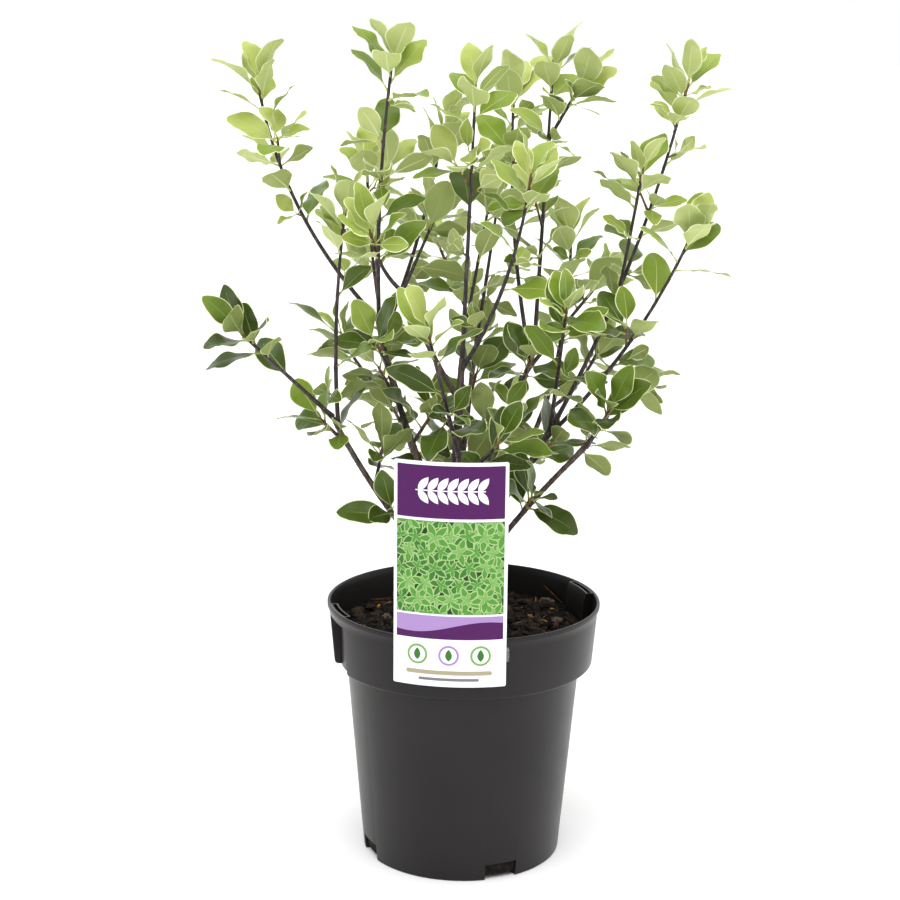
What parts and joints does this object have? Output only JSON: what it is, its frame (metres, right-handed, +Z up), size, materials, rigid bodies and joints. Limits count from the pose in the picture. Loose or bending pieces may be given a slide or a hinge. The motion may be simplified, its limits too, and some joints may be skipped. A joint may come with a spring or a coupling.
{
  "type": "potted pittosporum",
  "caption": "Young evergreen shrub with upright leafy shoots on low boughs, in a round nursery pot of potting mix with a printed plant label on its rim.",
  "frame": {"origin": "centre of the pot's flat underside", "axes": "+Z up along the pot's axis, -Y towards the label, +X to the right when seen from the label's side"},
  "size_m": [0.3657, 0.2994, 0.6059],
  "materials": {
    "pot_plastic": "charcoal moulded plastic with a low sheen and a slightly brighter lip",
    "potting_mix": "moist dark bark mix with brown chips and a few pale slivers",
    "bark": "grey-brown older bark, fine ridges and leaf scars",
    "foliage": "leathery green leaves with thin cream margins, pale below, glossy when mature, on dark purple-brown shoots",
    "label_card": "white plastic card with a printed purple and green design, low gloss",
    "clip_plastic": "clear thin plastic strip"
  },
  "bodies": {
    "root": {"pot": "pot_plastic", "potting_mix": "potting_mix", "trunk": "bark", "bough_right_low": "bark", "bough_left_low": "bark", "bough_back_right": "bark", "bough_front": "bark", "bough_right": "bark", "bough_back_left": "bark", "bough_left": "bark", "bough_centre_right": "bark", "bough_back": "bark", "bough_centre_left": "bark", "foliage_left_low": "foliage", "foliage_left_upright": "foliage", "foliage_left_high": "foliage", "foliage_left_tall": "foliage", "foliage_left_inner": "foliage", "foliage_front_left": "foliage", "foliage_front": "foliage", "foliage_front_low": "foliage", "foliage_centre_tall": "foliage", "foliage_centre_front": "foliage", "foliage_back_centre": "foliage", "foliage_top": "foliage", "foliage_right_inner": "foliage", "foliage_right_high": "foliage", "foliage_right_front": "foliage", "foliage_right_mid": "foliage", "foliage_right_low": "foliage", "foliage_back_left_high": "foliage", "foliage_back_left_low": "foliage", "foliage_back_high": "foliage", "foliage_back_low": "foliage", "foliage_back_right_high": "foliage", "foliage_back_right_low": "foliage", "spray_left_low_1": "foliage", "spray_left_low_2": "foliage", "spray_left_low_3": "foliage", "spray_left_1": "foliage", "spray_left_2": "foliage", "spray_left_3": "foliage", "spray_trunk_1": "foliage", "spray_trunk_2": "foliage", "spray_centre_right_1": "foliage", "spray_centre_right_2": "foliage", "spray_right_1": "foliage", "spray_right_2": "foliage", "spray_right_low_1": "foliage", "spray_right_low_2": "foliage", "spray_back_left_1": "foliage", "spray_back_left_2": "foliage", "spray_back_right_1": "foliage", "spray_back_right_2": "foliage", "spray_back_1": "foliage", "spray_back_2": "foliage", "plant_label": "label_card", "label_clip": "clip_plastic"}
  },
  "joints": []
}
